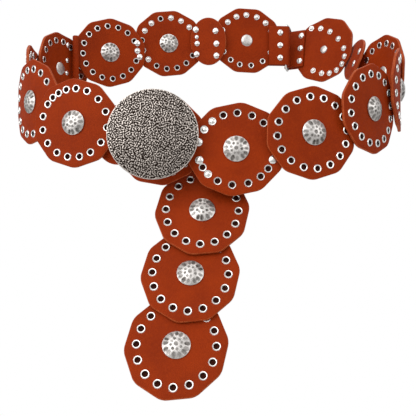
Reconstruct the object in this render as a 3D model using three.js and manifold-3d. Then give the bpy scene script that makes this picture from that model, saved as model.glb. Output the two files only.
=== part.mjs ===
import * as THREE from 'three';
import Module from 'manifold-3d';
import { mergeVertices } from 'three/addons/utils/BufferGeometryUtils.js';

const wasm = await Module();
wasm.setup();

// Driving sizes, millimetres and degrees. +X is the wearer's left, -Y the front, +Z up.
const DISC_ACROSS = 80;          // leather disc, edge to edge across the belt
const DISC_ALONG = 85;           // the same disc along the belt
const LEATHER = 3;               // leather thickness
const DISC_SIDES = 10;
const CORNER_CUT = 0.12;         // share of a side taken by each rounded corner
const EYELET_COUNT = 16;
const EYELET_HOLE = 4.8;
const EYELET_CIRCLE = 0.755;     // radius of the eyelet circle as a share of the disc
const HOLE_SIDES = 6;
const LOOP_HALF_WIDTH = 185;     // centre of the loop to the discs at either side
const LOOP_HALF_DEPTH = 120;     // centre of the loop to the discs front and back
const LOOP_RISE = 74;            // how far the back of the loop stands above its centre
const SEAT = 0.3;                // clearance where one piece lies on another
const STUD_DIAMETER = 21.5;
const STUD_RISE = 4.2;
const STUD_SIDES = 16;
const BUCKLE_DIAMETER = 75;
const BUCKLE_RISE = 7;
const BUCKLE_STANDOFF = 23.5;     // last disc's middle to the buckle's rim
const BUCKLE_SHIFT = 4.3;        // buckle's middle towards -X from its disc's
const BUCKLE_TURN = 3;           // degrees the buckle faces towards +X
const BUCKLE_LEAN = 5;           // degrees it faces up
const BUCKLE_SIDES = 40;
const POST_DIAMETER = 9;
const RING_WIRE = 2.6;
const RING_HEIGHT = 52;          // rectangular ring, middle of wire to middle of wire
const RING_CORNER = 0.09;        // share of the ring's height where its corners start to turn
const RING_STEPS = 32;
const RING_WIRE_SIDES = 8;
const STRAP_LEATHER = 2.5;
const STRAP_HEIGHT = 46;
const STRAP_FOOT = 0.62;         // where a folded strap starts on its disc, share of half its length
const STRAP_FOLD = 1.12;         // where the strap turns round the ring, same share
const FOLD_STEPS = 6;
const LINK_SIDES = 20;
const TAIL_STRAP_WIDTH = 30;
const TAIL_STRAP_SHIFT = 20;     // towards +X from the tail's middle

const LEATHER_COLOUR = 0x9a3b1c;
const SILVER_COLOUR = 0xb9b3a8;
const NICKEL_COLOUR = 0xc9c9c9;

const leather = () => new THREE.MeshStandardMaterial({ color: LEATHER_COLOUR, roughness: 0.62, metalness: 0 });
const silver = () => new THREE.MeshStandardMaterial({ color: SILVER_COLOUR, roughness: 0.35, metalness: 1 });
const nickel = () => new THREE.MeshStandardMaterial({ color: NICKEL_COLOUR, roughness: 0.22, metalness: 1 });

// Discs in the order they follow each other from the free end. x, y and z are shares of
// LOOP_HALF_WIDTH, LOOP_HALF_DEPTH and LOOP_RISE.
// lean tips the face up, lift turns the free-end edge out over its neighbour, bend is the turn
// in degrees from one end of the disc to the other, roll turns the disc in its own plane.
const COLUMNS = ['name', 'x', 'y', 'z', 'lean', 'lift', 'bend', 'roll', 'stud', 'pierced'];
const DISCS = [
  ['disc_tail_3', -0.129, -1.407, -3.097, 31, 0, 0, 4, 1, 1],
  ['disc_tail_2', -0.076, -1.186, -2.399, 31, 0, 0, 4, 1, 1],
  ['disc_tail_1', -0.026, -0.974, -1.722, 30, 0, -6, 4, 1, 1],
  ['disc_front_2', 0.127, -0.992, -1.027, 5, 4.2, 4, -10, 1, 1],
  ['disc_front_3', 0.476, -0.967, -0.838, 3, 3, 24, 0, 1, 1],
  ['disc_front_4', 0.783, -0.742, -0.514, 0, 5, 28, 0, 1, 1],
  ['disc_right_1', 0.985, -0.333, -0.170, 0, 3, 38, 0, 1, 0],
  ['disc_right_2', 0.998, 0.190, 0.224, 0, 6, 34, 0, 1, 0],
  ['disc_back_4', 0.752, 0.975, 0.865, -9, -8, 26, 0, 1, 0],
  ['disc_back_3', 0.250, 0.980, 1.015, 0, 5, 6, 0, 1, 0],
  ['disc_back_2', -0.252, 0.933, 0.949, 0, 0.7, 10, 0, -1, 0],
  ['disc_back_1', -0.613, 0.768, 0.739, 0, -4.9, 20, 0, -1, 0],
  ['disc_left_3', -0.890, 0.498, 0.396, 0, 10.5, 40, 0, 1, 0],
  ['disc_left_2', -0.9785, 0.040, 0.014, 0, 3, 38, 0, 1, 0],
  ['disc_left_1', -0.893, -0.424, -0.347, 0, 7, 40, 0, 1, 0],
  ['disc_front_1', -0.638, -0.725, -0.677, 2, 6.2, 18, 0, 1, 1],
  ['disc_buckle', -0.228, -0.870, -0.900, 3, -2.6, 10, 0, 0, 0],
].map((row) => Object.fromEntries(row.map((value, i) => [COLUMNS[i], value])));
const TAIL_COUNT = 3;

const rad = THREE.MathUtils.degToRad;
const group = new THREE.Group();

function addMesh(name, geometry, material) {
  const mesh = new THREE.Mesh(geometry, material);
  mesh.name = name;
  group.add(mesh);
}

function toSolid(geometry) {
  const bare = geometry.clone();
  bare.deleteAttribute('normal');
  bare.deleteAttribute('uv');
  const merged = mergeVertices(bare, 1e-4);
  return new wasm.Manifold(new wasm.Mesh({
    numProp: 3,
    vertProperties: new Float32Array(merged.attributes.position.array),
    triVerts: new Uint32Array(merged.index.array),
  }));
}

function toGeometry(solid) {
  const mesh = solid.getMesh();
  const geometry = new THREE.BufferGeometry();
  geometry.setAttribute('position', new THREE.BufferAttribute(new Float32Array(mesh.vertProperties), 3));
  geometry.setIndex(new THREE.BufferAttribute(new Uint32Array(mesh.triVerts), 1));
  geometry.computeVertexNormals();
  return geometry;
}

// A seat is a place on the belt: centre, level direction along, outward, across, the bend there,
// and the slope at which a piece lies turned in its own plane.
function seat(centre, along, out, bendTurn, slope) {
  const across = new THREE.Vector3().crossVectors(along, out).normalize();
  return { centre, along, out, across, curve: rad(bendTurn) / DISC_ALONG, slope };
}

function onSeat(place, u, v, w) {
  const k = place.curve;
  const level = u * Math.cos(place.slope) - v * Math.sin(place.slope);
  const rise = u * Math.sin(place.slope) + v * Math.cos(place.slope);
  const flat = Math.abs(k) < 1e-6;
  const run = flat ? level : Math.sin(k * level) * (1 / k + w);
  const depth = flat ? w : Math.cos(k * level) * (1 / k + w) - 1 / k;
  return place.centre.clone()
    .addScaledVector(place.along, run)
    .addScaledVector(place.out, depth)
    .addScaledVector(place.across, rise);
}

function facingOut(geometry) {
  if (toSolid(geometry).volume() < 0) {
    if (!geometry.index) geometry.setIndex([...Array(geometry.attributes.position.count).keys()]);
    const index = geometry.index.array;
    for (let i = 0; i < index.length; i += 3) [index[i + 1], index[i + 2]] = [index[i + 2], index[i + 1]];
  }
  geometry.computeVertexNormals();
  return geometry;
}

// Bent sheet from an outline (u, v) about its middle, between offsets low and high from the seat.
const SHEET_RINGS = [0.5, 1];
function sheet(place, outline, low, high) {
  const count = outline.length;
  const positions = [];
  const index = [];
  const layers = [high, low];
  const start = layers.map((w) => {
    const first = positions.length / 3;
    positions.push(...onSeat(place, 0, 0, w).toArray());
    for (const ring of SHEET_RINGS) {
      for (const [u, v] of outline) positions.push(...onSeat(place, u * ring, v * ring, w).toArray());
    }
    return first;
  });
  const at = (layer, ring, i) => start[layer] + 1 + ring * count + (i % count);
  const last = SHEET_RINGS.length - 1;
  for (let i = 0; i < count; i += 1) {
    for (const layer of [0, 1]) {
      const put = (a, b, c) => (layer ? index.push(a, c, b) : index.push(a, b, c));
      put(start[layer], at(layer, 0, i), at(layer, 0, i + 1));
      for (let ring = 0; ring < last; ring += 1) {
        put(at(layer, ring, i), at(layer, ring + 1, i), at(layer, ring + 1, i + 1));
        put(at(layer, ring, i), at(layer, ring + 1, i + 1), at(layer, ring, i + 1));
      }
    }
    index.push(at(0, last, i), at(1, last, i), at(1, last, i + 1));
    index.push(at(0, last, i), at(1, last, i + 1), at(0, last, i + 1));
  }
  const geometry = new THREE.BufferGeometry();
  geometry.setAttribute('position', new THREE.Float32BufferAttribute(positions, 3));
  geometry.setIndex(index);
  return facingOut(geometry);
}

function discOutline() {
  const points = [];
  const corner = (i) => {
    const a = (i + 0.5) * 2 * Math.PI / DISC_SIDES + Math.PI / 2;
    return [Math.cos(a) * DISC_ALONG / 2, Math.sin(a) * DISC_ACROSS / 2];
  };
  for (let i = 0; i < DISC_SIDES; i += 1) {
    const [before, here, after] = [corner(i - 1), corner(i), corner(i + 1)];
    const toward = (p, q, s) => [p[0] + (q[0] - p[0]) * s, p[1] + (q[1] - p[1]) * s];
    const entry = toward(here, before, CORNER_CUT);
    const exit = toward(here, after, CORNER_CUT);
    points.push(entry, exit);
  }
  return points;
}

function roundOutline(along, across, sides) {
  return Array.from({ length: sides }, (_, i) => {
    const a = 2 * Math.PI * i / sides;
    return [Math.cos(a) * along / 2, Math.sin(a) * across / 2];
  });
}

const places = DISCS.map((d) => new THREE.Vector3(
  d.x * LOOP_HALF_WIDTH, d.y * LOOP_HALF_DEPTH, d.z * LOOP_RISE));

function chainDirection(i) {
  const loopFirst = TAIL_COUNT;
  const loopLast = DISCS.length - 1;
  if (i < TAIL_COUNT) {
    const ahead = places[Math.min(i + 1, TAIL_COUNT - 1)];
    const behind = places[Math.max(i - 1, 0)];
    return ahead.clone().sub(behind).normalize();
  }
  const ahead = i === loopLast ? places[loopFirst] : places[i + 1];
  const behind = i === loopFirst ? places[loopLast] : places[i - 1];
  return ahead.clone().sub(behind).normalize();
}

function discSeat(i) {
  const d = DISCS[i];
  const chain = chainDirection(i);
  const up = new THREE.Vector3(0, 0, 1);
  const lean = rad(d.lean);
  if (i < TAIL_COUNT) {
    const out = new THREE.Vector3(0, -Math.cos(lean), Math.sin(lean));
    const along = chain.addScaledVector(out, -chain.dot(out)).normalize();
    return seat(places[i], along, out, d.bend, rad(d.roll));
  }
  const along = new THREE.Vector3(chain.x, chain.y, 0).normalize();
  const level = new THREE.Vector3(along.y, -along.x, 0);
  const upright = level.clone().multiplyScalar(-Math.sin(lean)).addScaledVector(up, Math.cos(lean));
  along.applyAxisAngle(upright, rad(d.lift));
  const out = new THREE.Vector3().crossVectors(along, upright).normalize();
  const slope = Math.atan2(chain.z, Math.hypot(chain.x, chain.y));
  return seat(places[i], along, out, d.bend, -slope + rad(d.roll));
}

const seats = Object.fromEntries(DISCS.map((d, i) => [d.name, discSeat(i)]));

// Leather discs, the ones in plain view pierced for their eyelets. Two discs have eyelets set
// unevenly by hand: degrees round from the edge that leads to the next disc, upwards first.
const EVEN_TURNS = Array.from({ length: EYELET_COUNT }, (_, i) => 360 * (i + 0.5) / EYELET_COUNT);
const HAND_TURNS = {
  disc_front_2: [12, 33.8, 54.7, 77.3, 98.6, 117.4, 135, 198.4, 211.9, 230.1, 252.7, 276.8, 298, 314.5, 351],
  disc_front_1: [8.6, 35, 59, 82.8, 102.4, 119.7, 134.7, 147.6, 162, 184.5, 207.7, 232.4, 256.5, 277.3, 298.1,
    318.1, 342],
};
const half = LEATHER / 2;
for (const d of DISCS) {
  const place = seats[d.name];
  const body = sheet(place, discOutline(), -half, half);
  if (!d.pierced) {
    addMesh(d.name, body, leather());
    continue;
  }
  let solid = toSolid(body);
  for (const turn of HAND_TURNS[d.name] ?? EVEN_TURNS) {
    const u = Math.cos(rad(turn)) * DISC_ALONG / 2 * EYELET_CIRCLE;
    const v = -Math.sin(rad(turn)) * DISC_ACROSS / 2 * EYELET_CIRCLE;
    const drill = new THREE.CylinderGeometry(EYELET_HOLE / 2, EYELET_HOLE / 2, LEATHER * 3, HOLE_SIDES);
    const foot = onSeat(place, u, v, -half);
    const head = onSeat(place, u, v, half);
    const axis = head.clone().sub(foot).normalize();
    drill.applyQuaternion(new THREE.Quaternion().setFromUnitVectors(new THREE.Vector3(0, 1, 0), axis));
    drill.translate(...foot.add(head).multiplyScalar(0.5).toArray());
    solid = solid.subtract(toSolid(drill));
  }
  addMesh(d.name, toGeometry(solid), leather());
}

// Shallow domed studs in the middle of the discs.
function standOn(geometry, place, offset, side) {
  const axis = place.out.clone().multiplyScalar(side);
  geometry.applyQuaternion(new THREE.Quaternion().setFromUnitVectors(new THREE.Vector3(0, 1, 0), axis));
  geometry.translate(...place.centre.clone().addScaledVector(axis, offset).toArray());
  return geometry;
}

const STUD_PROFILE = [[0, 0], [1, 0], [1, 0.22], [0.66, 0.78], [0, 1]];
for (const d of DISCS) {
  if (!d.stud) continue;
  const place = seats[d.name];
  const hollow = Math.max(0, -d.stud * place.curve) * SHEET_RINGS[0] * DISC_ALONG / 2 * STUD_DIAMETER / 4;
  const points = STUD_PROFILE.map(([r, h]) => new THREE.Vector2(r * STUD_DIAMETER / 2, h * STUD_RISE));
  const dome = new THREE.LatheGeometry(points, STUD_SIDES);
  addMesh(d.name.replace('disc', 'stud'), standOn(dome, place, half + SEAT / 3 + hollow, d.stud), silver());
}

// Plain leather links under or over the edges of two discs. at: where the link is riveted, as a
// share of half a disc; side: sheets of leather it lies off that disc's middle, out is positive;
// drop: how far it hangs below the discs' middles, as a share of half a disc.
const LINK_COLUMNS = ['name', 'from', 'to', 'fromAt', 'toAt', 'fromSide', 'toSide', 'drop', 'along', 'across', 'bend'];
const LINKS = [
  ['link_back_middle', 'disc_back_3', 'disc_back_2', 0.8, 0.8, -1.75, -1.5, 0.08, 0.5, 0.7, 24],
  ['link_back_right', 'disc_right_2', 'disc_back_4', 0.8, 0.8, -2.5, 2.8, 0, 0.8, 0.58, 14],
  ['link_front_left', 'disc_front_1', 'disc_buckle', 0.75, 0.75, -2.15, -1.8, 0, 0.5, 0.66, 0],
].map((row) => Object.fromEntries(row.map((value, i) => [LINK_COLUMNS[i], value])));
const PLY = LEATHER + SEAT;

for (const link of LINKS) {
  const [from, to] = [seats[link.from], seats[link.to]];
  const start = onSeat(from, link.fromAt * DISC_ALONG / 2, link.drop * DISC_ACROSS / 2, link.fromSide * PLY);
  const end = onSeat(to, -link.toAt * DISC_ALONG / 2, link.drop * DISC_ACROSS / 2, link.toSide * PLY);
  const along = end.clone().sub(start).normalize();
  const out = from.out.clone().add(to.out);
  out.addScaledVector(along, -out.dot(along)).normalize();
  const middle = start.add(end).multiplyScalar(0.5);
  const place = seat(middle, along, out, link.bend, 0);
  addMesh(link.name, sheet(place, roundOutline(link.along * DISC_ALONG, link.across * DISC_ACROSS, LINK_SIDES),
    -half, half), leather());
}

// Straps folded round the rectangular ring, each with a disc's edge between its two layers.
const foldInner = Math.max(half, RING_WIRE / 2) + SEAT * 2;
const foldOuter = foldInner + STRAP_LEATHER;
function strap(place, side, level) {
  const foot = side * STRAP_FOOT * DISC_ALONG / 2;
  const fold = side * STRAP_FOLD * DISC_ALONG / 2;
  const arc = (radius, first, last) => Array.from({ length: FOLD_STEPS + 1 }, (_, i) => {
    const a = first + (last - first) * i / FOLD_STEPS;
    return new THREE.Vector2(fold + side * Math.cos(a) * radius, Math.sin(a) * radius);
  });
  const shape = new THREE.Shape([
    new THREE.Vector2(foot, foldOuter), ...arc(foldOuter, Math.PI / 2, -Math.PI / 2),
    new THREE.Vector2(foot, -foldOuter), new THREE.Vector2(foot, -foldInner),
    ...arc(foldInner, -Math.PI / 2, Math.PI / 2), new THREE.Vector2(foot, foldInner),
  ]);
  const geometry = new THREE.ExtrudeGeometry(shape, { depth: STRAP_HEIGHT, bevelEnabled: false });
  const position = geometry.attributes.position;
  for (let i = 0; i < position.count; i += 1) {
    const v = position.getZ(i) - STRAP_HEIGHT / 2 + level;
    const p = onSeat(place, position.getX(i), v, position.getY(i));
    position.setXYZ(i, p.x, p.y, p.z);
  }
  return { geometry: facingOut(geometry), bar: (v) => onSeat(place, fold, level + v, 0) };
}

const ringLevel = (seats.disc_back_3.centre.z + seats.disc_back_4.centre.z) / 2;
const strapSeat = (place) => ({ ...place, slope: 0 });
const levelOn = (place) => (ringLevel - place.centre.z) / place.across.z;
const leftStrap = strap(strapSeat(seats.disc_back_3), -1, levelOn(seats.disc_back_3));
const rightStrap = strap(strapSeat(seats.disc_back_4), 1, levelOn(seats.disc_back_4));
addMesh('strap_ring_left', leftStrap.geometry, leather());
addMesh('strap_ring_right', rightStrap.geometry, leather());

const tip = RING_HEIGHT / 2;
const bend = tip * (1 - RING_CORNER);
const [left, right] = [leftStrap.bar, rightStrap.bar];
const ringPath = new THREE.CatmullRomCurve3([
  left(bend), left(bend / 2), left(-bend / 2), left(-bend), left(-tip).lerp(right(-tip), RING_CORNER),
  right(-tip).lerp(left(-tip), RING_CORNER), right(-bend), right(-bend / 2), right(bend / 2), right(bend),
  right(tip).lerp(left(tip), RING_CORNER), left(tip).lerp(right(tip), RING_CORNER),
], true, 'centripetal');
addMesh('ring', new THREE.TubeGeometry(ringPath, RING_STEPS, RING_WIRE / 2, RING_WIRE_SIDES, true), nickel());

// Round domed buckle plate facing the front, carried on a post from the last disc.
const buckleOut = new THREE.Vector3(0, -1, 0)
  .applyAxisAngle(new THREE.Vector3(1, 0, 0), -rad(BUCKLE_LEAN))
  .applyAxisAngle(new THREE.Vector3(0, 0, 1), rad(BUCKLE_TURN));
const buckleCentre = seats.disc_buckle.centre.clone().setX(seats.disc_buckle.centre.x - BUCKLE_SHIFT);
const buckleSeat = { centre: buckleCentre, out: buckleOut };
const BUCKLE_PROFILE = [[0, 0.66], [0.5, 0.52], [1, 0], [1, 0.3], [0.86, 0.56], [0.6, 0.84], [0.3, 0.97], [0, 1]];
const bucklePlate = new THREE.LatheGeometry(
  BUCKLE_PROFILE.map(([r, h]) => new THREE.Vector2(r * BUCKLE_DIAMETER / 2, h * BUCKLE_RISE)), BUCKLE_SIDES);
addMesh('buckle', standOn(bucklePlate, buckleSeat, BUCKLE_STANDOFF, 1), silver());
const tilt = buckleOut.angleTo(seats.disc_buckle.out);
const postFoot = half / Math.cos(tilt) + POST_DIAMETER / 2 * Math.tan(tilt) - SEAT;
const [crown, shoulder] = BUCKLE_PROFILE;
const hollow = crown[1] - (crown[1] - shoulder[1]) / shoulder[0] * POST_DIAMETER / BUCKLE_DIAMETER;
const postTop = BUCKLE_STANDOFF + hollow * BUCKLE_RISE - SEAT;
const post = new THREE.CylinderGeometry(POST_DIAMETER / 2, POST_DIAMETER / 2, postTop - postFoot, STUD_SIDES);
addMesh('buckle_post', standOn(post, buckleSeat, (postTop + postFoot) / 2, 1), silver());

// Strap from the face of the first tail disc up to the back of the disc in front of it.
// along and off are shares of half a disc, off standing out from the tail disc's middle.
const TAIL_STRAP = [[0.55, 0.094], [0.72, 0.094], [1.03, 0.49], [1.36, 0.615]];
function ribbon(place, path, thickness, width, level) {
  const points = path.map(([u, w]) => new THREE.Vector2(u * DISC_ALONG / 2, w * DISC_ALONG / 2));
  const normal = (a, b) => new THREE.Vector2(a.y - b.y, b.x - a.x).normalize();
  const edge = (offset) => points.map((p, i) => {
    const before = normal(points[Math.max(i - 1, 0)], points[Math.max(i, 1)]);
    const after = normal(points[Math.min(i, points.length - 2)], points[Math.min(i + 1, points.length - 1)]);
    const miter = before.clone().add(after).normalize();
    return p.clone().addScaledVector(miter, offset / miter.dot(after));
  });
  const shape = new THREE.Shape([...edge(thickness / 2), ...edge(-thickness / 2).reverse()]);
  const geometry = new THREE.ExtrudeGeometry(shape, { depth: width, bevelEnabled: false });
  const position = geometry.attributes.position;
  for (let i = 0; i < position.count; i += 1) {
    const p = onSeat(place, position.getX(i), position.getZ(i) - width / 2 + level, position.getY(i));
    position.setXYZ(i, p.x, p.y, p.z);
  }
  return facingOut(geometry);
}
addMesh('strap_tail', ribbon({ ...seats.disc_tail_1, slope: 0, curve: 0 }, TAIL_STRAP, LEATHER,
  TAIL_STRAP_WIDTH, TAIL_STRAP_SHIFT), leather());

export default group;
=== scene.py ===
from math import atan2, cos, hypot, pi, radians, sin
from random import Random

import bmesh
import bpy
import numpy as np
from mathutils import Matrix, Vector


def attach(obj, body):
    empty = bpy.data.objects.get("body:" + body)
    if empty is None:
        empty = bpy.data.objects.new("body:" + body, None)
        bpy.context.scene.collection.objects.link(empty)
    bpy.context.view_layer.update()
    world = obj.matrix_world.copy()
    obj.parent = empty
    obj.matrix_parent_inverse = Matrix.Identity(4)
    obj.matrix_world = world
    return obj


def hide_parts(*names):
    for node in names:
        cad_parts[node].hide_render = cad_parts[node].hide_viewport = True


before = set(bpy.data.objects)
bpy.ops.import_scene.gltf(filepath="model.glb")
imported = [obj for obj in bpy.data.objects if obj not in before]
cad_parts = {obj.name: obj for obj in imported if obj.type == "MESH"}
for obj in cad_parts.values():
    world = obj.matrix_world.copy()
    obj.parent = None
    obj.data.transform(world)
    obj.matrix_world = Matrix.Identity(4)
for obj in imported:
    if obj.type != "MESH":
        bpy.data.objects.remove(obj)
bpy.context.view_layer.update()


# Leather discs.
# Seventeen decagons of 3 mm cognac leather with softly rounded corners, lying over each other
# like scales: fourteen round the hips and three hanging as a tail. Each was cut out, its edge
# burnished round, punched for its eyelets, and bent to the wearer's hips.
MM = 0.001
DISC_ALONG = 85 * MM
DISC_ACROSS = 80 * MM
DISC_SIDES = 10
DISC_CORNER = 4 * MM
LEATHER = 3 * MM
EDGE_ROUND = 1.0 * MM
EYELETS = 16
EYELET_CIRCLE = 0.755
HOLE_RADIUS = 2.8 * MM
HOLE_DEPTH = 2.1 * MM
BACK_HOLE_DEPTH = 0.4 * MM
LOOP_HALF_WIDTH = 185 * MM
LOOP_HALF_DEPTH = 120 * MM
LOOP_RISE = 74 * MM
TAIL_DISCS = 3

# Shares of the loop's half width, half depth and rise; then degrees: lean, lift, bend, roll.
DISCS = {
    "tail_3": (-0.129, -1.407, -3.097, 31, 0, 0, 4),
    "tail_2": (-0.076, -1.186, -2.399, 31, 0, 0, 4),
    "tail_1": (-0.026, -0.974, -1.722, 30, 0, -6, 4),
    "front_2": (0.127, -0.992, -1.027, 5, 4.2, 4, -10),
    "front_3": (0.476, -0.967, -0.838, 3, 3, 24, 0),
    "front_4": (0.783, -0.742, -0.514, 0, 5, 28, 0),
    "right_1": (0.985, -0.333, -0.170, 0, 3, 38, 0),
    "right_2": (0.998, 0.190, 0.224, 0, 6, 34, 0),
    "back_4": (0.752, 0.975, 0.865, -9, -8, 26, 0),
    "back_3": (0.250, 0.980, 1.015, 0, 5, 6, 0),
    "back_2": (-0.252, 0.933, 0.949, 0, 0.7, 10, 0),
    "back_1": (-0.613, 0.768, 0.739, 0, -4.9, 20, 0),
    "left_3": (-0.890, 0.498, 0.396, 0, 10.5, 40, 0),
    "left_2": (-0.9785, 0.040, 0.014, 0, 3, 38, 0),
    "left_1": (-0.893, -0.424, -0.347, 0, 7, 40, 0),
    "front_1": (-0.638, -0.725, -0.677, 2, 6.2, 18, 0),
    "buckle": (-0.228, -0.870, -0.900, 3, -2.6, 10, 0),
}
FACING_IN = ("back_2", "back_1")
ORDER = list(DISCS)
CENTRES = [
    Vector((x * LOOP_HALF_WIDTH, y * LOOP_HALF_DEPTH, z * LOOP_RISE))
    for x, y, z, *_ in DISCS.values()
]


class Flow:
    """A number on its way through a finish. Arithmetic on it adds the Math nodes."""

    def __init__(self, finish, socket):
        self.finish = finish
        self.socket = socket

    def _math(self, operation, first, second):
        return self.finish.node("ShaderNodeMath", {"operation": operation}, {0: first, 1: second})

    def __add__(self, other):
        return self._math("ADD", self, other)

    def __sub__(self, other):
        return self._math("SUBTRACT", self, other)

    def __rsub__(self, other):
        return self._math("SUBTRACT", other, self)

    def __mul__(self, other):
        return self._math("MULTIPLY", self, other)

    __radd__ = __add__
    __rmul__ = __mul__

    def between(self, low, high):
        """0 where the number is at low, 1 at high, smooth between."""
        return self.finish.node(
            "ShaderNodeMapRange",
            {"interpolation_type": "SMOOTHSTEP"},
            {"Value": self, "From Min": low, "From Max": high},
        )


class Finish:
    """One material, built node by node."""

    def __init__(self, name, metallic=0.0, specular=0.5):
        self.material = bpy.data.materials.new(name)
        self.material.use_nodes = True
        self.tree = self.material.node_tree
        self.shader = self.tree.nodes["Principled BSDF"]
        self.feed(self.shader.inputs["Metallic"], metallic)
        self.feed(self.shader.inputs["Specular IOR Level"], specular)

    def feed(self, socket, value):
        if isinstance(value, Flow):
            self.tree.links.new(value.socket, socket)
        else:
            socket.default_value = value

    def node(self, kind, settings=None, inputs=None, output=0):
        made = self.tree.nodes.new(kind)
        for name, value in (settings or {}).items():
            setattr(made, name, value)
        for name, value in (inputs or {}).items():
            self.feed(made.inputs[name], value)
        return Flow(self, made.outputs[output])

    def where(self):
        return self.node("ShaderNodeTexCoord", output="Object")

    def noise(self, size, detail=3.0, roughness=0.5, distortion=0.0):
        """Noise from 0 to 1 whose lumps are about size across."""
        return self.node(
            "ShaderNodeTexNoise",
            None,
            {
                "Vector": self.where(),
                "Scale": 1 / size,
                "Detail": detail,
                "Roughness": roughness,
                "Distortion": distortion,
            },
        )

    def blend(self, factor, low, high):
        """A colour between low and high."""
        made = self.tree.nodes.new("ShaderNodeMix")
        made.data_type = "RGBA"
        self.feed(made.inputs["Factor"], factor)
        for name, value in (("A", low), ("B", high)):
            socket = next(s for s in made.inputs if s.name == name and s.type == "RGBA")
            self.feed(socket, value if isinstance(value, Flow) else (*value, 1.0))
        return Flow(self, next(s for s in made.outputs if s.type == "RGBA"))

    def bump(self, height, depth, below=None):
        """Normals of a relief of that depth, laid over another one."""
        inputs = {"Height": height, "Distance": depth, "Strength": 1.0}
        if below:
            inputs["Normal"] = below
        return self.node("ShaderNodeBump", None, inputs)

    def wear(self, **looks):
        for name, value in looks.items():
            socket = self.shader.inputs[name.replace("_", " ")]
            if not isinstance(value, Flow) and socket.type == "RGBA":
                value = (*value, 1.0)
            self.feed(socket, value)
        return self.material


def leather_finish(name, deep, mid, light, gloss):
    """Smooth full-grain leather: cloudy dye, fine pores, a few faint stretch creases."""
    finish = Finish(name, specular=0.08)
    clouds = finish.noise(26 * MM, detail=4.0, roughness=0.55)
    mottle = finish.noise(2.2 * MM, detail=3.0)
    pores = finish.node(
        "ShaderNodeTexVoronoi",
        {"feature": "F1"},
        {"Vector": finish.where(), "Scale": 1 / (0.9 * MM)},
        output="Distance",
    )
    creases = finish.noise(7 * MM, detail=5.0, roughness=0.65, distortion=1.2)
    tone = finish.blend(clouds.between(0.25, 0.75), deep, mid)
    colour = finish.blend(mottle.between(0.45, 0.8) * 0.35, tone, light)
    grain = finish.bump(pores, 0.05 * MM)
    skin = finish.bump(creases, 0.35 * MM, below=grain)
    return finish.wear(
        Base_Color=colour,
        Roughness=gloss + (mottle - 0.5) * 0.14 + (clouds - 0.5) * 0.1,
        Normal=skin,
    )


LEATHER_FACE = leather_finish(
    "leather_face", (0.225, 0.0205, 0.0008), (0.285, 0.0280, 0.0012), (0.335, 0.040, 0.0030), 0.62
)


def edge_finish():
    """Burnished cut edge: paler than the face, with the fibres lying in layers."""
    finish = Finish("leather_edge", specular=0.15)
    fibres = finish.noise(0.7 * MM, detail=4.0, roughness=0.7)
    patches = finish.noise(9 * MM, detail=2.0)
    pale = finish.blend(patches.between(0.3, 0.7), (0.38, 0.065, 0.014), (0.55, 0.140, 0.042))
    colour = finish.blend(fibres.between(0.35, 0.75), (0.29, 0.036, 0.005), pale)
    layers = finish.bump(fibres, 0.1 * MM)
    return finish.wear(Base_Color=colour, Roughness=0.5 + fibres * 0.2, Normal=layers)


def hole_shade_finish():
    """The raw lining at the bottom of a punched hole, coloured near black: painted shade for the
    hole's depth.
    """
    finish = Finish("leather_hole_painted_shade", specular=0.15)
    fluff = finish.noise(0.8 * MM, detail=3.0)
    # Near-black colours: painted shade in the depth of the hole, varied by noise.
    colour = finish.blend(fluff, (0.016, 0.003, 0.0015), (0.060, 0.010, 0.004))
    return finish.wear(Base_Color=colour, Roughness=0.9, Normal=finish.bump(fluff, 0.2 * MM))


# The third slot is the near-black painted shade of the punched holes.
LEATHER_SLOTS = (LEATHER_FACE, edge_finish(), hole_shade_finish())
FACE_SLOT, EDGE_SLOT, HOLE_SHADE_SLOT = range(3)


def start_piece():
    if bpy.context.mode != "OBJECT":
        bpy.ops.object.mode_set(mode="OBJECT")
    bpy.ops.object.select_all(action="DESELECT")


def only(piece):
    start_piece()
    piece.select_set(True)
    bpy.context.view_layer.objects.active = piece


def pick(piece, kind, wanted):
    """In edit mode, selects just the faces, edges or corners that are wanted."""
    bpy.ops.mesh.select_mode(type=kind)
    bpy.ops.mesh.select_all(action="DESELECT")
    mesh = bmesh.from_edit_mesh(piece.data)
    mesh.normal_update()
    parts = {"FACE": mesh.faces, "EDGE": mesh.edges, "VERT": mesh.verts}[kind]
    for part in parts:
        if wanted(part):
            part.select_set(True)
    mesh.select_flush_mode()
    bmesh.update_edit_mesh(piece.data)


def apply_modifiers(piece):
    only(piece)
    for modifier in list(piece.modifiers):
        bpy.ops.object.modifier_apply(modifier=modifier.name)


def copy_of(piece, name):
    """A copy with its own mesh."""
    twin = piece.copy()
    twin.data = piece.data.copy()
    twin.name = twin.data.name = name
    bpy.context.scene.collection.objects.link(twin)
    return twin


def discard(piece):
    bpy.data.objects.remove(piece, do_unlink=True)


def join(pieces, name):
    start_piece()
    for piece in pieces:
        piece.select_set(True)
    bpy.context.view_layer.objects.active = pieces[0]
    if len(pieces) > 1:
        bpy.ops.object.join()
    joined = bpy.context.view_layer.objects.active
    joined.name = joined.data.name = name
    return joined


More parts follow.
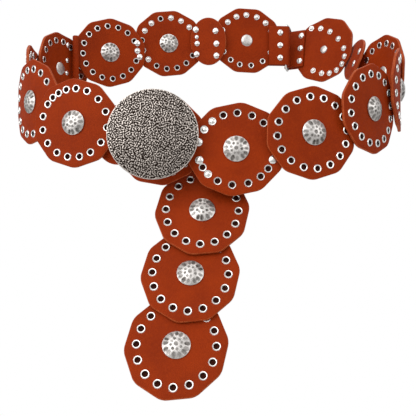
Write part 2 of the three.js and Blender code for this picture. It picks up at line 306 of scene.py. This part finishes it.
def cut_leather(name, sides, along, across, thick, corner, rings):
    """A flat piece cut from leather, facing -Y, its length along X, its edge rounded."""
    start_piece()
    bpy.ops.mesh.primitive_circle_add(
        vertices=sides,
        radius=0.5,
        fill_type="NGON",
        location=(0, -thick / 2, 0),
        rotation=(pi / 2, pi / sides, 0),
    )
    blank = bpy.context.object
    blank.name = blank.data.name = name
    bpy.ops.object.transform_apply()
    bpy.ops.object.mode_set(mode="EDIT")
    bpy.ops.mesh.select_all(action="SELECT")
    bpy.ops.transform.resize(value=(along, 1, across), center_override=(0, 0, 0))
    if corner:
        bpy.ops.mesh.bevel(offset=corner, segments=4, affect="VERTICES")
        pick(blank, "EDGE", lambda edge: edge.calc_length() > corner)
        bpy.ops.mesh.subdivide(number_cuts=5)
    bpy.ops.mesh.select_all(action="SELECT")
    bpy.ops.mesh.extrude_region_move(TRANSFORM_OT_translate={"value": (0, thick, 0)})
    bpy.ops.mesh.select_all(action="SELECT")
    bpy.ops.mesh.normals_make_consistent(inside=False)
    pick(blank, "EDGE", lambda edge: abs(edge.verts[0].co.y - edge.verts[1].co.y) < thick / 2)
    bpy.ops.mesh.bevel(offset=EDGE_ROUND, segments=3, affect="EDGES")
    pick(blank, "FACE", lambda face: len(face.verts) > 4)
    before = 1.0
    for ring in rings:
        bpy.ops.mesh.extrude_region_move()
        bpy.ops.transform.resize(value=(ring / before, 1, ring / before), center_override=(0, 0, 0))
        before = ring
    bpy.ops.object.mode_set(mode="OBJECT")
    for slot in LEATHER_SLOTS:
        blank.data.materials.append(slot)
    for face in blank.data.polygons:
        face.material_index = FACE_SLOT if abs(face.normal.y) > 0.85 else EDGE_SLOT
    return blank


def ring_places(angles):
    """Places (x, z) on the eyelet circle of a flat disc, angles in degrees from its length."""
    along = DISC_ALONG / 2 * EYELET_CIRCLE
    across = DISC_ACROSS / 2 * EYELET_CIRCLE
    return [(cos(radians(a)) * along, sin(radians(a)) * across) for a in angles]


def punch(blank, places):
    """Sinks the eyelet holes from the front, and their shallow ends from the back."""
    punches = []
    for front, depth in ((-1, HOLE_DEPTH), (1, BACK_HOLE_DEPTH)):
        for x, z in places:
            start_piece()
            bpy.ops.mesh.primitive_cylinder_add(
                vertices=16,
                radius=HOLE_RADIUS,
                depth=2 * depth,
                location=(x, front * LEATHER / 2, z),
                rotation=(pi / 2, 0, 0),
            )
            punches.append(bpy.context.object)
    tool = join(punches, "punch")
    bpy.ops.object.transform_apply()
    for slot in LEATHER_SLOTS:
        tool.data.materials.append(slot)
    # Every face of the punch, the walls and bottoms of the holes, takes the near-black hole finish:
    # painted shade.
    for face in tool.data.polygons:
        face.material_index = HOLE_SHADE_SLOT
    cut = blank.modifiers.new("punch", "BOOLEAN")
    cut.operation = "DIFFERENCE"
    cut.solver = "EXACT"
    cut.object = tool
    apply_modifiers(blank)
    discard(tool)
    return blank


def chain_direction(i):
    first = 0 if i < TAIL_DISCS else TAIL_DISCS
    last = TAIL_DISCS - 1 if i < TAIL_DISCS else len(ORDER) - 1
    if i < TAIL_DISCS:
        ahead, behind = min(i + 1, last), max(i - 1, first)
    else:
        ahead = first if i == last else i + 1
        behind = last if i == first else i - 1
    return (CENTRES[ahead] - CENTRES[behind]).normalized()


def disc_seat(name):
    """Where a flat piece facing -Y goes on that disc: its matrix, its curve and its slope."""
    i = ORDER.index(name)
    lean, lift, bend, roll = (radians(value) for value in DISCS[name][3:])
    chain = chain_direction(i)
    if i < TAIL_DISCS:
        out = Vector((0, -cos(lean), sin(lean)))
        along = (chain - out * chain.dot(out)).normalized()
        slope = roll
    else:
        along = Vector((chain.x, chain.y, 0)).normalized()
        level = Vector((along.y, -along.x, 0))
        upright = Vector((0, 0, cos(lean))) - level * sin(lean)
        along.rotate(Matrix.Rotation(lift, 3, upright))
        out = along.cross(upright).normalized()
        slope = roll - atan2(chain.z, hypot(chain.x, chain.y))
    across = along.cross(out).normalized()
    matrix = Matrix((along, -out, -across)).transposed().to_4x4()
    matrix.translation = CENTRES[i]
    return matrix, bend / DISC_ALONG, slope


def bend_round(piece, curve):
    """Bends a flat piece about the upright, its face outwards."""
    width = max(v.co.x for v in piece.data.vertices) - min(v.co.x for v in piece.data.vertices)
    if abs(curve * width) > 1e-4:
        bend = piece.modifiers.new("bend", "SIMPLE_DEFORM")
        bend.deform_method = "BEND"
        bend.deform_axis = "Z"
        bend.angle = curve * width
        apply_modifiers(piece)


def settle(piece, seat, finish, *nodes):
    """Bends a flat piece to its seat and puts it there. It stands for those nodes."""
    matrix, curve, slope = seat
    piece.data.transform(Matrix.Rotation(slope, 4, "Y"))
    bend_round(piece, curve)
    piece.data.transform(matrix)
    hand_over(piece, finish, *nodes)


def hand_over(piece, finish, *nodes):
    only(piece)
    bpy.ops.object.shade_smooth_by_angle(angle=radians(38))
    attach(piece, "root")
    if nodes:
        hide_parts(*nodes)


WAVE_LENGTH = 30 * MM
WAVE_STEP = 0.7 * MM
WAVE_HEIGHT = 0.7 * MM


def wavy(piece, name):
    """The slow waves of worn leather, a little different on each disc."""
    waves = bpy.data.textures.new("waves", "CLOUDS")
    waves.noise_scale = WAVE_LENGTH + WAVE_STEP * ORDER.index(name)
    push = piece.modifiers.new("waves", "DISPLACE")
    push.texture = waves
    push.texture_coords = "LOCAL"
    push.direction = "Y"
    push.strength = WAVE_HEIGHT
    push.mid_level = 0.5
    apply_modifiers(piece)


# Some discs have their eyelets set unevenly by hand: degrees round, from the disc's length.
EVEN_RING = [(i + 0.5) * 360 / EYELETS for i in range(EYELETS)]
HAND_RINGS = {
    "back_3": (20, 42, 65, 87, 110, 133, 155, 178, 205, 232, 259, 284, 306, 330, 355),
    "front_2": (
        12, 33.8, 54.7, 77.3, 98.6, 117.4, 135, 198.4, 211.9, 230.1, 252.7, 276.8, 298, 314.5, 351,
    ),
    "front_1": (
        8.6, 35, 59, 82.8, 102.4, 119.7, 134.7, 147.6, 162, 184.5, 207.7, 232.4, 256.5, 277.3, 298.1,
        318.1, 342,
    ),
}
# The disc right of the ring has eleven, off centre: millimetres from its middle.
BACK_4_EYELETS = (
    (28, 22), (15, 24), (0, 22), (-16, 15), (-29, 5), (-34, -4), (-34, -13), (-29, -21), (-20, -26),
    (-9, -28), (4, -27),
)
DISC_RINGS = (0.93, 0.86, 0.755, 0.65, 0.5, 0.34, 0.18)


def eyelet_places(place):
    if place == "back_4":
        return [(x * MM, z * MM) for x, z in BACK_4_EYELETS]
    return ring_places(HAND_RINGS.get(place, EVEN_RING))


plain_disc = cut_leather(
    "plain_disc", DISC_SIDES, DISC_ALONG, DISC_ACROSS, LEATHER, DISC_CORNER, DISC_RINGS
)
even_disc = punch(copy_of(plain_disc, "even_disc"), ring_places(EVEN_RING))
for place in ORDER:
    if place in HAND_RINGS or place == "back_4":
        leather = punch(copy_of(plain_disc, f"leather_{place}"), eyelet_places(place))
    else:
        leather = copy_of(even_disc, f"leather_{place}")
    if place in FACING_IN:
        leather.data.transform(Matrix.Rotation(pi, 4, "Z"))
    wavy(leather, place)
    settle(leather, disc_seat(place), "leather", f"disc_{place}")
discard(plain_disc)
discard(even_disc)


# Eyelets.
# Eleven to seventeen nickel eyelets round each disc, about 7 mm across: a rolled flange on the
# face, a barrel in the leather and a rolled end on the back.
def metal_finish(name, bright, dull, rough, scratch):
    """Cast or pressed metal with a thin uneven tarnish and fine handling marks."""
    finish = Finish(name, metallic=1.0)
    tarnish = finish.noise(3.5 * MM, detail=4.0, roughness=0.6)
    marks = finish.noise(0.35 * MM, detail=2.0)
    colour = finish.blend(tarnish.between(0.3, 0.7), dull, bright)
    return finish.wear(
        Base_Color=colour,
        Roughness=rough + (tarnish - 0.5) * 0.12,
        Normal=finish.bump(marks, scratch),
    )


NICKEL = metal_finish("nickel", (0.84, 0.83, 0.81), (0.66, 0.65, 0.63), 0.27, 0.01 * MM)
EYELET_STEPS = 14
# Profiles in millimetres: distance from the middle, then depth behind the disc's mid plane.
FLANGE = (
    (2.35, 0.55), (2.35, -1.75), (2.65, -2.1), (3.15, -2.15), (3.65, -1.5), (2.6, -1.4), (2.6, 0.55),
)
ROLLED_END = ((2.3, 0.9), (2.6, 0.9), (2.6, 1.4), (3.6, 1.5), (3.3, 2.0), (2.8, 2.1), (2.3, 1.9))


def ring_of(profile, name):
    """A closed ring round Y, drawn out loop by loop from a circle."""
    start_piece()
    (radius, y), *rest = profile
    bpy.ops.mesh.primitive_circle_add(
        vertices=EYELET_STEPS, radius=radius * MM, location=(0, y * MM, 0), rotation=(pi / 2, 0, 0)
    )
    ring = bpy.context.object
    bpy.ops.object.transform_apply()
    bpy.ops.object.mode_set(mode="EDIT")
    bpy.ops.mesh.select_mode(type="EDGE")
    bpy.ops.mesh.select_all(action="SELECT")
    for next_radius, next_y in rest:
        bpy.ops.mesh.extrude_region_move(
            TRANSFORM_OT_translate={"value": (0, (next_y - y) * MM, 0)}
        )
        grow = next_radius / radius
        bpy.ops.transform.resize(value=(grow, 1, grow), center_override=(0, 0, 0))
        radius, y = next_radius, next_y
    pick(ring, "EDGE", lambda edge: edge.is_boundary)
    bpy.ops.mesh.bridge_edge_loops()
    bpy.ops.mesh.select_all(action="SELECT")
    bpy.ops.mesh.normals_make_consistent(inside=False)
    bpy.ops.object.mode_set(mode="OBJECT")
    ring.name = ring.data.name = name
    ring.data.materials.append(NICKEL)
    return ring


eyelet = join([ring_of(FLANGE, "flange"), ring_of(ROLLED_END, "rolled_end")], "eyelet")


def set_round(part, places, name):
    """One piece made of a copy of a small part at each place (x, z) of a flat disc."""
    parts = []
    for x, z in places:
        twin = copy_of(part, name)
        twin.data.transform(Matrix.Translation((x, 0, z)))
        parts.append(twin)
    return join(parts, name)


for place in ORDER:
    eyelets = set_round(eyelet, eyelet_places(place), f"eyelets_{place}")
    if place in FACING_IN:
        eyelets.data.transform(Matrix.Rotation(pi, 4, "Z"))
    settle(eyelets, disc_seat(place), "nickel")
discard(eyelet)


# Hammered studs.
# A low domed stud of antique silver in the middle of each disc but the buckle's, its face
# planished by hand in rings of small dents. The dents hold dark tarnish, the ridges are rubbed.
STUD_DIAMETER = 21.5 * MM
STUD_RISE = 4.2 * MM
STUD_RIM = 0.8 * MM
STUD_SEAT = 0.1 * MM
# Rings of dents: millimetres from the middle, how many, half a dent's width, its stretch outwards.
DENT_RINGS = ((0, 1, 1.8, 1.0), (4.3, 8, 1.4, 1.0), (8.4, 13, 1.7, 1.45))
DENT_DEPTH = 0.3 * MM
RIM_DENT = 0.3
RIM_SHARE = 0.97
TARNISH = 0.9
TARNISH_EDGE = 2.4


def silver_finish(name, bright, dark, rough):
    """Antique silver: bright where it is rubbed, dark where the dents and grooves hold dirt."""
    finish = Finish(name, metallic=1.0)
    depth = finish.node("ShaderNodeAttribute", {"attribute_name": "hollow"}, output="Fac")
    tarnish = finish.noise(2.4 * MM, detail=4.0, roughness=0.6)
    marks = finish.noise(0.5 * MM, detail=3.0)
    grime = finish.node(
        "ShaderNodeMath",
        {"operation": "ADD", "use_clamp": True},
        {0: depth, 1: tarnish.between(0.35, 0.8) * 0.35},
    )
    return finish.wear(
        Base_Color=finish.blend(grime, bright, dark),
        Roughness=rough + grime * 0.2,
        Normal=finish.bump(marks, 0.03 * MM),
    )


HAMMERED = silver_finish("hammered_silver", (0.63, 0.60, 0.575), (0.07, 0.06, 0.052), 0.38)


def hammered_stud():
    radius = STUD_DIAMETER / 2
    rise = STUD_RISE - STUD_RIM
    ball = (radius ** 2 + rise ** 2) / (2 * rise)
    start_piece()
    bpy.ops.mesh.primitive_uv_sphere_add(
        segments=72,
        ring_count=128,
        radius=ball,
        location=(0, ball - rise, 0),
        rotation=(pi / 2, 0, 0),
    )
    stud = bpy.context.object
    bpy.ops.object.transform_apply()
    bpy.ops.object.mode_set(mode="EDIT")
    bpy.ops.mesh.select_all(action="SELECT")
    bpy.ops.mesh.bisect(
        plane_co=(0, 0, 0), plane_no=(0, 1, 0), use_fill=True, clear_outer=True
    )
    pick(stud, "FACE", lambda face: len(face.verts) > 10)
    bpy.ops.mesh.extrude_region_move(TRANSFORM_OT_translate={"value": (0, STUD_RIM, 0)})
    bpy.ops.object.mode_set(mode="OBJECT")
    chance = Random(11)
    dents = []
    for far, count, size, stretch in DENT_RINGS:
        for k in range(count):
            a = 2 * pi * (k + chance.uniform(-0.14, 0.14)) / count + far
            reach = (far + chance.uniform(-0.25, 0.25)) * MM
            across = size * MM * chance.uniform(0.85, 1.1)
            dents.append((a, reach, across, across * stretch, chance.uniform(0.45, 1.0)))
    hollow = stud.data.attributes.new("hollow", "FLOAT", "POINT")
    for vertex in stud.data.vertices:
        if vertex.co.y > -0.01 * MM:
            continue
        hit = 0.0
        shade = 0.0
        for a, reach, across, along, dark in dents:
            outwards = (vertex.co.x * cos(a) + vertex.co.z * sin(a) - reach) / along
            sideways = (vertex.co.z * cos(a) - vertex.co.x * sin(a)) / across
            here = 1 - outwards ** 2 - sideways ** 2
            if here > hit:
                hit = here
                shade = dark
        lip = hypot(vertex.co.x, vertex.co.z) / radius
        vertex.co.y += DENT_DEPTH * hit * (1.0 if lip < RIM_SHARE else RIM_DENT)
        hollow.data[vertex.index].value = TARNISH * shade * min(1.0, hit * TARNISH_EDGE)
    stud.data.transform(Matrix.Translation((0, -LEATHER / 2 - STUD_SEAT - STUD_RIM, 0)))
    stud.data.materials.append(HAMMERED)
    return stud


STUD_TURN = 2.3
stud_pattern = hammered_stud()
for turn, place in enumerate(ORDER[:-1]):
    stud = copy_of(stud_pattern, f"hammered_{place}")
    stud.data.transform(Matrix.Rotation(turn * STUD_TURN, 4, "Y"))
    if place in FACING_IN:
        stud.data.transform(Matrix.Rotation(pi, 4, "Z"))
    stud.data.transform(disc_seat(place)[0])
    hand_over(stud, "silver", f"stud_{place}")
discard(stud_pattern)


# Rivets.
# Low domed nickel rivets about 8 mm across hold the layers together. Larger plain ones are the
# backs of the studs, and small domes close some of the eyelets.
RIVET_STEPS = 16
RIVET_RINGS = 10
RIVET = 3.7
RIVET_RISE = 1.7
STUD_BACK = 7
SMALL_STUD_BACK = 4.8
STUD_BACK_RISE = 1.5
CAP = 2.55
CAP_RISE = 2.1
# On these discs some eyelets are closed by a cap: degrees round, from the disc's length.
CAPPED = {
    "back_2": (33.75, 56.25, 101.25, 123.75, 146.25, 326.25),
    "back_3": (42, 65, 87, 110, 133),
}
FRONT_CAPPED = (117.4, 135, 211.9)
FRONT_CAP = 2.4
FRONT_CAP_RISE = 1.1

start_piece()
bpy.ops.mesh.primitive_uv_sphere_add(segments=RIVET_STEPS, ring_count=RIVET_RINGS, radius=MM)
rivet = bpy.context.object
rivet.data.transform(Matrix.Rotation(pi / 2, 4, "X"))


def domes(name, seat, spots, flat, rise, inwards=False, sheets=LEATHER / 2):
    """Domed rivets on a seat. Spots hold x and z from its middle and the radius, in millimetres."""
    parts = []
    for x, z, radius in spots:
        part = copy_of(rivet, name)
        part.data.transform(Matrix.Diagonal((radius, rise, radius, 1)))
        part.data.transform(Matrix.Translation((x * MM, sheets if inwards else -sheets, z * MM)))
        part.data.materials.append(flat)
        parts.append(part)
    settle(join(parts, name), seat, "nickel")


def on_ring(angles, radius):
    return [(x / MM, z / MM, radius) for x, z in ring_places(angles)]


for place in ORDER[:-1]:
    size = SMALL_STUD_BACK if place == "back_4" else STUD_BACK
    outer = place in FACING_IN
    spots = ((0, 0, size),)
    domes(f"stud_back_{place}", disc_seat(place), spots, HAMMERED, STUD_BACK_RISE, not outer)
for place, angles in CAPPED.items():
    domes(f"caps_{place}", disc_seat(place), on_ring(angles, CAP), NICKEL, CAP_RISE, True)
spots = [(x, z, CAP) for x, z in BACK_4_EYELETS]
domes("caps_back_4", disc_seat("back_4"), spots, NICKEL, CAP_RISE, True)
spots = on_ring(FRONT_CAPPED, FRONT_CAP)
domes("caps_front_2", disc_seat("front_2"), spots, NICKEL, FRONT_CAP_RISE)
domes("rivets_front_2", disc_seat("front_2"), on_ring((157, 186, 330), RIVET), NICKEL, RIVET_RISE)
spots = ((-34, 2.5, RIVET), (-31.5, -6, 2.7), (-32, -13.5, 3.6))
domes("rivets_back_1", disc_seat("back_1"), spots, NICKEL, RIVET_RISE, True)
spots = ((-23.5, 20, 3), (-15, 5, 2.8), (-8, -7.5, 2.6))
domes("rivets_left_3", disc_seat("left_3"), spots, NICKEL, 1.5, True)


# Links.
# Three plain oval leather pieces that join discs where these don't overlap, riveted under or
# over their edges: one in the middle of the back, one at the right hip, one behind the buckle.
SEAT = 0.3 * MM
PLY = LEATHER + SEAT
LINK_SIDES = 56
LINK_RINGS = (0.9, 0.7, 0.4)
# Discs joined; where on each, as a share of half a disc; how many leathers off each face; how
# far below their middles, as such a share; length and width as shares of a disc; bend in degrees.
LINKS = {
    "back_middle": ("back_3", "back_2", 0.8, 0.8, -1.75, -1.5, 0.08, 0.5, 0.7, 24),
    "back_right": ("right_2", "back_4", 0.8, 0.8, -2.5, 2.8, 0, 0.8, 0.58, 14),
    "front_left": ("front_1", "buckle", 0.75, 0.75, -2.15, -1.8, 0, 0.5, 0.66, 0),
}

# Their rivets on the inner face: millimetres from the link's middle, then the radius.
LINK_RIVETS = {
    "back_middle": (
        (14, 15, 3.8), (13.5, 6, 2.7), (13.5, -1.5, 3.4), (15, -14, RIVET),
        (-9.5, 11, 3.8), (-9.5, -4, 3.8), (-8.5, -18, 3.8),
    ),
    "back_right": ((-12, 11, RIVET), (-11, -3, RIVET)),
}


def on_seat(seat, u, v, w):
    """A place on a seat: u along it, v down across it, w outwards."""
    matrix, curve, slope = seat
    level = u * cos(slope) - v * sin(slope)
    down = u * sin(slope) + v * cos(slope)
    if abs(curve) < 1e-6:
        return matrix @ Vector((level, -w, -down))
    radius = 1 / curve
    run = sin(curve * level) * (radius + w)
    depth = cos(curve * level) * (radius + w) - radius
    return matrix @ Vector((run, -depth, -down))


def link_seat(link):
    first, second, first_at, second_at, first_side, second_side, drop, _, _, bend = LINKS[link]
    below = drop * DISC_ACROSS / 2
    start = on_seat(disc_seat(first), first_at * DISC_ALONG / 2, below, first_side * PLY)
    end = on_seat(disc_seat(second), -second_at * DISC_ALONG / 2, below, second_side * PLY)
    along = (end - start).normalized()
    out = -(disc_seat(first)[0].col[1] + disc_seat(second)[0].col[1]).to_3d()
    out = (out - along * out.dot(along)).normalized()
    matrix = Matrix((along, -out, -along.cross(out))).transposed().to_4x4()
    matrix.translation = (start + end) / 2
    return matrix, radians(bend) / DISC_ALONG, 0.0


for link, (*_, long, wide, _) in LINKS.items():
    name = f"leather_link_{link}"
    size = (long * DISC_ALONG, wide * DISC_ACROSS)
    piece = cut_leather(name, LINK_SIDES, *size, LEATHER, 0, LINK_RINGS)
    settle(piece, link_seat(link), "leather", f"link_{link}")
for link, spots in LINK_RIVETS.items():
    domes(f"rivets_link_{link}", link_seat(link), spots, NICKEL, RIVET_RISE, True)


# Ring and its straps.
# At the right of the back a rectangular nickel wire ring joins two straps. Each strap is folded
# round the ring with the edge of a disc between its layers. Another strap, behind the buckle,
# carries the tail. At the left of the back a rolled strip of leather stands between two discs.
def from_solid(node, name, finish):
    """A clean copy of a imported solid, its corners merged, to be worked on."""
    twin = copy_of(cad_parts[node], name)
    twin.parent = None
    twin.matrix_world = Matrix.Identity(4)
    only(twin)
    twin.data.materials.clear()
    twin.data.materials.append(finish)
    bpy.ops.object.mode_set(mode="EDIT")
    bpy.ops.mesh.select_all(action="SELECT")
    bpy.ops.mesh.remove_doubles(threshold=0.002 * MM)
    bpy.ops.mesh.dissolve_limited(angle_limit=radians(0.5))
    bpy.ops.object.mode_set(mode="OBJECT")
    return twin


def burnish(piece, width, above):
    """Rounds the edges whose faces turn by more than that many degrees."""
    soft = piece.modifiers.new("burnish", "BEVEL")
    soft.limit_method = "ANGLE"
    soft.angle_limit = radians(above)
    soft.width = width
    soft.segments = 3
    apply_modifiers(piece)


def upright_seat(place):
    """A disc's seat for a piece that stays upright on it."""
    matrix, curve, _ = disc_seat(place)
    return matrix, curve, 0.0


for strap in ("strap_ring_left", "strap_ring_right", "strap_tail"):
    piece = from_solid(strap, f"leather_{strap}", LEATHER_FACE)
    burnish(piece, 0.6 * MM, 50)
    hand_over(piece, "leather", strap)

# Three rivets on each folded strap: where along the disc, the middle one's height, their spacing.
STRAP_RIVETS = {"back_3": (-40, -5.5, 15), "back_4": (31, 5.5, 16)}
STRAP_FACE = 4.6 * MM
for place, (x, level, gap) in STRAP_RIVETS.items():
    spots = [(x, level + k * gap, RIVET) for k in (-1, 0, 1)]
    domes(f"rivets_strap_{place}", upright_seat(place), spots, NICKEL, 1.6, True, STRAP_FACE)
discard(rivet)

FOLD_RADIUS = 3.6 * MM
FOLD_LENGTH = 50 * MM
FOLD_PLACE = (41.3 * MM, 5.1 * MM, -11 * MM)
start_piece()
bpy.ops.mesh.primitive_cylinder_add(vertices=24, radius=FOLD_RADIUS, depth=FOLD_LENGTH)
fold = bpy.context.object
fold.name = fold.data.name = "leather_fold_left"
fold.data.transform(Matrix.Translation(FOLD_PLACE))
fold.data.materials.append(LEATHER_FACE)
burnish(fold, 1.4 * MM, 30)
settle(fold, upright_seat("back_1"), "leather")

wire = from_solid("ring", "wire_ring", NICKEL)
smooth = wire.modifiers.new("round", "SUBSURF")
smooth.levels = smooth.render_levels = 1
apply_modifiers(wire)
hand_over(wire, "nickel", "ring")


# Buckle.
# A round cast plate of antique silver, 75 mm across and slightly domed, hooked over the last
# disc. Its face is chased all over with short winding strokes, dark between, up to a thin
# bare rim. A post carries it.
BUCKLE_RADIUS = 37.5 * MM
BUCKLE_RISE = 7 * MM
BUCKLE_STANDOFF = 23.5 * MM
BUCKLE_SHIFT = 4.3 * MM
BUCKLE_TURN = radians(3)
BUCKLE_LEAN = radians(5)
BUCKLE_EDGE = 1.6 * MM
BARE_RIM = 0.995
RIM_FADE = 0.02
STROKE_PITCH = 1.85 * MM
STROKE_DEPTH = 0.42 * MM
STROKES = 6000


def strokes_at(points):
    """Height from -1 to 1 of the chased strokes: many short ripples laid in every direction."""
    chance = np.random.default_rng(5)
    reach = 1.05 * BUCKLE_RADIUS
    spread = 0.44 * STROKE_PITCH
    total = np.zeros(len(points))
    for _ in range(STROKES):
        centre = chance.uniform(-reach, reach, 2)
        turn = chance.uniform(0, 2 * pi)
        phase = chance.uniform(0, 2 * pi)
        gap = points - centre
        near = np.abs(gap).max(axis=1) < 3 * spread
        gap = gap[near]
        wave = (gap[:, 0] * cos(turn) + gap[:, 1] * sin(turn)) * 2 * pi / STROKE_PITCH + phase
        total[near] += np.exp(-(gap ** 2).sum(axis=1) / (2 * spread ** 2)) * np.cos(wave)
    return np.tanh(total / total.std() * 1.3)


CHASED = silver_finish("chased_silver", (0.60, 0.535, 0.485), (0.012, 0.006, 0.004), 0.3)
BUCKLE_GRID = 216


def chased_plate():
    start_piece()
    bpy.ops.mesh.primitive_grid_add(
        x_subdivisions=BUCKLE_GRID, y_subdivisions=BUCKLE_GRID, size=2, rotation=(pi / 2, 0, 0)
    )
    plate = bpy.context.object
    bpy.ops.object.transform_apply()
    flat = np.array([(v.co.x, v.co.z) for v in plate.data.vertices])
    disc = flat * np.sqrt(1 - flat[:, ::-1] ** 2 / 2)
    share = np.minimum(np.hypot(disc[:, 0], disc[:, 1]), 1)
    strokes = strokes_at(disc * BUCKLE_RADIUS)
    fade = np.clip((BARE_RIM - share) / RIM_FADE, 0, 1)
    crown = 0.3 + 0.7 * (1 - share ** 2.1) ** 0.95
    y = -crown * BUCKLE_RISE - STROKE_DEPTH * (strokes - 1) / 2 * fade
    for vertex, (x, z), height in zip(plate.data.vertices, disc * BUCKLE_RADIUS, y):
        vertex.co = (x, height, z)
    hollow = plate.data.attributes.new("hollow", "FLOAT", "POINT")
    depth = np.clip(0.95 - strokes, 0, 1) * fade
    hollow.data.foreach_set("value", depth)
    only(plate)
    bpy.ops.object.mode_set(mode="EDIT")
    pick(plate, "EDGE", lambda edge: edge.is_boundary)
    bpy.ops.mesh.extrude_region_move(TRANSFORM_OT_translate={"value": (0, BUCKLE_EDGE, 0)})
    for shrink, forward in ((0.965, 0.0), (0.8, -0.25), (0.5, -0.28), (0.3, -0.1)):
        bpy.ops.mesh.extrude_region_move(
            TRANSFORM_OT_translate={"value": (0, forward * BUCKLE_RISE, 0)}
        )
        bpy.ops.transform.resize(value=(shrink, 1, shrink), center_override=(0, 0, 0))
    bpy.ops.mesh.edge_face_add()
    bpy.ops.mesh.select_all(action="SELECT")
    bpy.ops.mesh.normals_make_consistent(inside=False)
    bpy.ops.object.mode_set(mode="OBJECT")
    plate.data.materials.append(CHASED)
    return plate


plate = chased_plate()
plate.name = plate.data.name = "chased_buckle"
buckle_out = Matrix.Rotation(BUCKLE_TURN, 3, "Z") @ Vector((0, -cos(BUCKLE_LEAN), sin(BUCKLE_LEAN)))
buckle_centre = CENTRES[-1] - Vector((BUCKLE_SHIFT, 0, 0)) + buckle_out * BUCKLE_STANDOFF
buckle_turn = buckle_out.to_track_quat("-Y", "Z").to_matrix().to_4x4()
plate.data.transform(Matrix.Translation(buckle_centre) @ buckle_turn)
hand_over(plate, "silver", "buckle")
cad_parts["buckle_post"].data.materials.clear()
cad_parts["buckle_post"].data.materials.append(HAMMERED)


# Studio.
# A pale floor far below the belt, a white room, and four soft lights: a large one above and
# in front, weaker ones from the left and the right, and one overhead to lift the far side.
CAMERA_BACK = 660 * MM
CAMERA_UP = -125 * MM
LENS = 56.25
FLOOR_DROP = 0.95
FLOOR_SIZE = 60

start_piece()
bpy.ops.mesh.primitive_plane_add(size=FLOOR_SIZE, location=(0, 0, -FLOOR_DROP))
floor = bpy.context.object
floor.name = "floor"
paper = bpy.data.materials.new("white_floor")
paper.use_nodes = True
nodes, links = paper.node_tree.nodes, paper.node_tree.links
glow = nodes.new("ShaderNodeEmission")
glow.inputs["Color"].default_value = (1.0, 1.0, 1.0, 1.0)
matt = nodes["Principled BSDF"]
matt.inputs["Base Color"].default_value = (0.85, 0.85, 0.84, 1.0)
matt.inputs["Roughness"].default_value = 0.9
seen = nodes.new("ShaderNodeLightPath")
either = nodes.new("ShaderNodeMixShader")
links.new(seen.outputs["Is Camera Ray"], either.inputs[0])
links.new(matt.outputs[0], either.inputs[1])
links.new(glow.outputs[0], either.inputs[2])
links.new(either.outputs[0], nodes["Material Output"].inputs["Surface"])
floor.data.materials.append(paper)

room = bpy.data.worlds.new("room")
room.use_nodes = True
nodes, links = room.node_tree.nodes, room.node_tree.links
ambient = nodes["Background"]
ambient.inputs["Color"].default_value = (1.0, 1.0, 1.0, 1.0)
backdrop = nodes.new("ShaderNodeBackground")
backdrop.inputs["Color"].default_value = (1.0, 1.0, 1.0, 1.0)
backdrop.inputs["Strength"].default_value = 1.0
seen = nodes.new("ShaderNodeLightPath")
either = nodes.new("ShaderNodeMixShader")
glossy = nodes.new("ShaderNodeMapRange")
glossy.inputs["To Min"].default_value = 0.40
glossy.inputs["To Max"].default_value = 0.75
links.new(seen.outputs["Is Glossy Ray"], glossy.inputs["Value"])
links.new(glossy.outputs[0], ambient.inputs["Strength"])
links.new(seen.outputs["Is Camera Ray"], either.inputs[0])
links.new(ambient.outputs[0], either.inputs[1])
links.new(backdrop.outputs[0], either.inputs[2])
links.new(either.outputs[0], nodes["World Output"].inputs["Surface"])
bpy.context.scene.world = room


def soft_light(name, spot, target, size, watts):
    lamp = bpy.data.lights.new(name, "AREA")
    lamp.shape = "DISK"
    lamp.size = size
    lamp.energy = watts
    holder = bpy.data.objects.new(name, lamp)
    holder.location = spot
    holder.rotation_euler = (Vector(target) - Vector(spot)).to_track_quat("-Z", "Y").to_euler()
    bpy.context.scene.collection.objects.link(holder)


soft_light("key", (-1.0, -1.7, 1.3), (0, 0, 0), 2.6, 36)
soft_light("left", (-1.8, -1.0, 0.2), (0, 0, 0), 1.8, 12)
soft_light("side", (1.6, -1.2, 0.7), (0, 0, 0), 1.8, 11)
soft_light("top", (0.2, 0.3, 1.6), (0, 0, 0), 1.6, 10)

lens = bpy.data.cameras.new("camera")
lens.lens = LENS
lens.sensor_width = 36
camera = bpy.data.objects.new("camera", lens)
camera.location = (0, -CAMERA_BACK, CAMERA_UP)
camera.rotation_euler = (pi / 2, 0, 0)
bpy.context.scene.collection.objects.link(camera)
bpy.context.scene.camera = camera
bpy.context.scene.view_settings.view_transform = "Standard"
